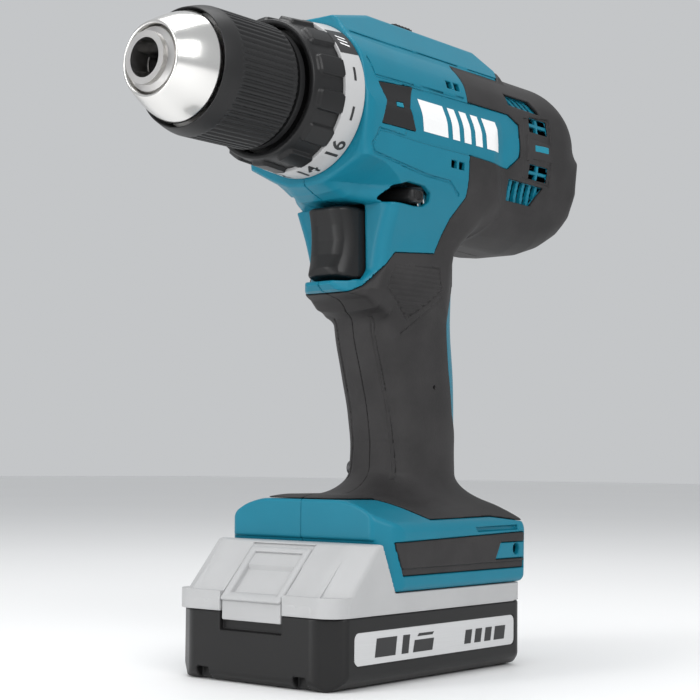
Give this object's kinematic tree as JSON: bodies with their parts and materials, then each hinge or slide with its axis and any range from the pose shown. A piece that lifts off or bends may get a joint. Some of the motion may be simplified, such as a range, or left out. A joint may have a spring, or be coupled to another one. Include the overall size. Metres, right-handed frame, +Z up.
{
  "type": "cordless drill",
  "caption": "Pistol-grip cordless drill driver with keyless chuck, torque ring, speed selector, trigger, reverse lever and slide-on battery.",
  "frame": {"origin": "on the standing surface under the middle of the tool's overall length and width", "axes": "+X out of the chuck along the spindle line, +Y to the tool's left, +Z up"},
  "size_m": [0.234, 0.077, 0.2446],
  "materials": {
    "blue_plastic": "satin blue-green moulded housing plastic",
    "elastomer": "dark soft grip moulding",
    "black_plastic": "black satin plastic",
    "grey_plastic": "light grey satin plastic",
    "chrome": "bright plated",
    "steel": "turned steel",
    "dark_steel": "blackened steel",
    "brass": "brass",
    "magnet": "ferrite magnet",
    "winding": "laminated core with lacquered copper",
    "silver_label": "silver foil label",
    "cell_wrap": "shrink-wrapped cell",
    "board": "circuit board",
    "lead": "insulated lead"
  },
  "bodies": {
    "tool": {"housing_left": "blue_plastic", "housing_right": "blue_plastic", "grip_cover_left": "elastomer", "grip_cover_right": "elastomer", "screws": "dark_steel", "gear_case": "black_plastic", "motor_plate": "steel", "spindle_bearing": "steel", "plain_bushes": "brass", "fixed_ring_gear": "steel", "clutch_plate": "steel", "clutch_spring": "steel", "motor_can": "steel", "motor_magnets": "magnet", "brush_gear": "black_plastic", "switch_body": "black_plastic", "lever_pin": "steel", "trigger_spring": "steel", "inner_leads": "lead", "terminal_block": "black_plastic"},
    "speed_selector": {"speed_knob": "black_plastic", "shift_fork": "steel", "sliding_ring_gear": "steel"},
    "torque_ring": {"torque_grip": "black_plastic", "scale_ring": "grey_plastic"},
    "clutch_nut": {"clutch_nut": "black_plastic"},
    "trigger": {"trigger": "black_plastic"},
    "reverse_lever": {"reverse_lever": "black_plastic"},
    "spindle": {"spindle": "steel", "output_carrier": "steel", "chuck_body": "steel", "chuck_screw": "dark_steel", "chuck_rear_ring": "black_plastic"},
    "chuck_sleeve": {"chuck_sleeve_grip": "black_plastic", "nose_cone": "chrome", "chuck_nut": "steel"},
    "jaw_1": {"jaw_1": "dark_steel"},
    "jaw_2": {"jaw_2": "dark_steel"},
    "jaw_3": {"jaw_3": "dark_steel"},
    "armature": {"armature_core": "winding", "commutator": "brass", "motor_shaft": "steel", "pinion": "steel", "cooling_fan": "black_plastic"},
    "first_carrier": {"first_carrier": "steel"},
    "battery": {"battery_case_lower": "black_plastic", "battery_case_upper": "grey_plastic", "battery_labels": "silver_label", "battery_board": "board", "battery_cells": "cell_wrap", "battery_case_screws": "dark_steel"},
    "battery_button": {"battery_button": "grey_plastic"},
    "planet_one_1": {"planet_one_1": "steel"},
    "planet_one_2": {"planet_one_2": "steel"},
    "planet_one_3": {"planet_one_3": "steel"},
    "planet_two_1": {"planet_two_1": "steel"},
    "planet_two_2": {"planet_two_2": "steel"},
    "planet_two_3": {"planet_two_3": "steel"}
  },
  "joints": [
    {"name": "spindle_spin", "type": "hinge", "parent": "tool", "child": "spindle", "pos_m": [0, 0, 0.2065], "axis": [1, 0, 0], "continuous": true},
    {"name": "armature_spin", "type": "hinge", "parent": "tool", "child": "armature", "pos_m": [0, 0, 0.2065], "axis": [1, 0, 0], "continuous": true},
    {"name": "first_carrier_spin", "type": "hinge", "parent": "tool", "child": "first_carrier", "pos_m": [0, 0, 0.2065], "axis": [1, 0, 0], "continuous": true},
    {"name": "planet_one_1_spin", "type": "hinge", "parent": "first_carrier", "child": "planet_one_1", "pos_m": [0, 0.012, 0.2065], "axis": [1, 0, 0], "continuous": true},
    {"name": "planet_one_2_spin", "type": "hinge", "parent": "first_carrier", "child": "planet_one_2", "pos_m": [0, -0.006, 0.21689], "axis": [1, 0, 0], "continuous": true},
    {"name": "planet_one_3_spin", "type": "hinge", "parent": "first_carrier", "child": "planet_one_3", "pos_m": [0, -0.006, 0.19611], "axis": [1, 0, 0], "continuous": true},
    {"name": "planet_two_1_spin", "type": "hinge", "parent": "spindle", "child": "planet_two_1", "pos_m": [0, 0.012, 0.2065], "axis": [1, 0, 0], "continuous": true},
    {"name": "planet_two_2_spin", "type": "hinge", "parent": "spindle", "child": "planet_two_2", "pos_m": [0, -0.006, 0.21689], "axis": [1, 0, 0], "continuous": true},
    {"name": "planet_two_3_spin", "type": "hinge", "parent": "spindle", "child": "planet_two_3", "pos_m": [0, -0.006, 0.19611], "axis": [1, 0, 0], "continuous": true},
    {"name": "chuck_sleeve_turn", "type": "hinge", "parent": "spindle", "child": "chuck_sleeve", "pos_m": [0, 0, 0.2065], "axis": [1, 0, 0], "range_deg": [0, 2520]},
    {"name": "jaw_1_slide", "type": "slide", "parent": "spindle", "child": "jaw_1", "axis": [0.9659, -0.2588, 0], "range_m": [0, 0.0225]},
    {"name": "jaw_2_slide", "type": "slide", "parent": "spindle", "child": "jaw_2", "axis": [0.9659, 0.1294, -0.2241], "range_m": [0, 0.0225]},
    {"name": "jaw_3_slide", "type": "slide", "parent": "spindle", "child": "jaw_3", "axis": [0.9659, 0.1294, 0.2241], "range_m": [0, 0.0225]},
    {"name": "torque_ring_turn", "type": "hinge", "parent": "tool", "child": "torque_ring", "pos_m": [0, 0, 0.2065], "axis": [1, 0, 0], "range_deg": [0, 300]},
    {"name": "clutch_nut_slide", "type": "slide", "parent": "tool", "child": "clutch_nut", "axis": [-1, 0, 0], "range_m": [0, 0.005], "deforming": ["clutch_spring"]},
    {"name": "trigger_pull", "type": "slide", "parent": "tool", "child": "trigger", "axis": [-1, 0, 0], "range_m": [0, 0.0065], "stiffness_N_per_m": 800, "springref_m": -0.004, "deforming": ["trigger_spring"]},
    {"name": "reverse_lever_turn", "type": "hinge", "parent": "tool", "child": "reverse_lever", "pos_m": [-0.022, 0, 0.17425], "axis": [0, 0, 1], "range_deg": [-6, 6]},
    {"name": "speed_selector_slide", "type": "slide", "parent": "tool", "child": "speed_selector", "axis": [-1, 0, 0], "range_m": [0, 0.004]},
    {"name": "battery_slide", "type": "slide", "parent": "tool", "child": "battery", "axis": [1, 0, 0], "range_m": [0, 0.11]},
    {"name": "battery_button_press", "type": "slide", "parent": "battery", "child": "battery_button", "axis": [0, 0, -1], "range_m": [0, 0.003], "stiffness_N_per_m": 900, "springref_m": -0.002}
  ],
  "couplings": [
    {"joint": "armature_spin", "follows": "spindle_spin", "ratio": 20},
    {"joint": "first_carrier_spin", "follows": "spindle_spin", "ratio": 4},
    {"joint": "planet_one_1_spin", "follows": "spindle_spin", "ratio": -10.667},
    {"joint": "planet_one_2_spin", "follows": "spindle_spin", "ratio": -10.667},
    {"joint": "planet_one_3_spin", "follows": "spindle_spin", "ratio": -10.667},
    {"joint": "planet_two_1_spin", "follows": "spindle_spin", "ratio": -3},
    {"joint": "planet_two_2_spin", "follows": "spindle_spin", "ratio": -3},
    {"joint": "planet_two_3_spin", "follows": "spindle_spin", "ratio": -3},
    {"joint": "jaw_1_slide", "follows": "chuck_sleeve_turn", "m_per_rad": 0.00051152},
    {"joint": "jaw_2_slide", "follows": "chuck_sleeve_turn", "m_per_rad": 0.00051152},
    {"joint": "jaw_3_slide", "follows": "chuck_sleeve_turn", "m_per_rad": 0.00051152},
    {"joint": "clutch_nut_slide", "follows": "torque_ring_turn", "m_per_rad": 0.00095483}
  ]
}
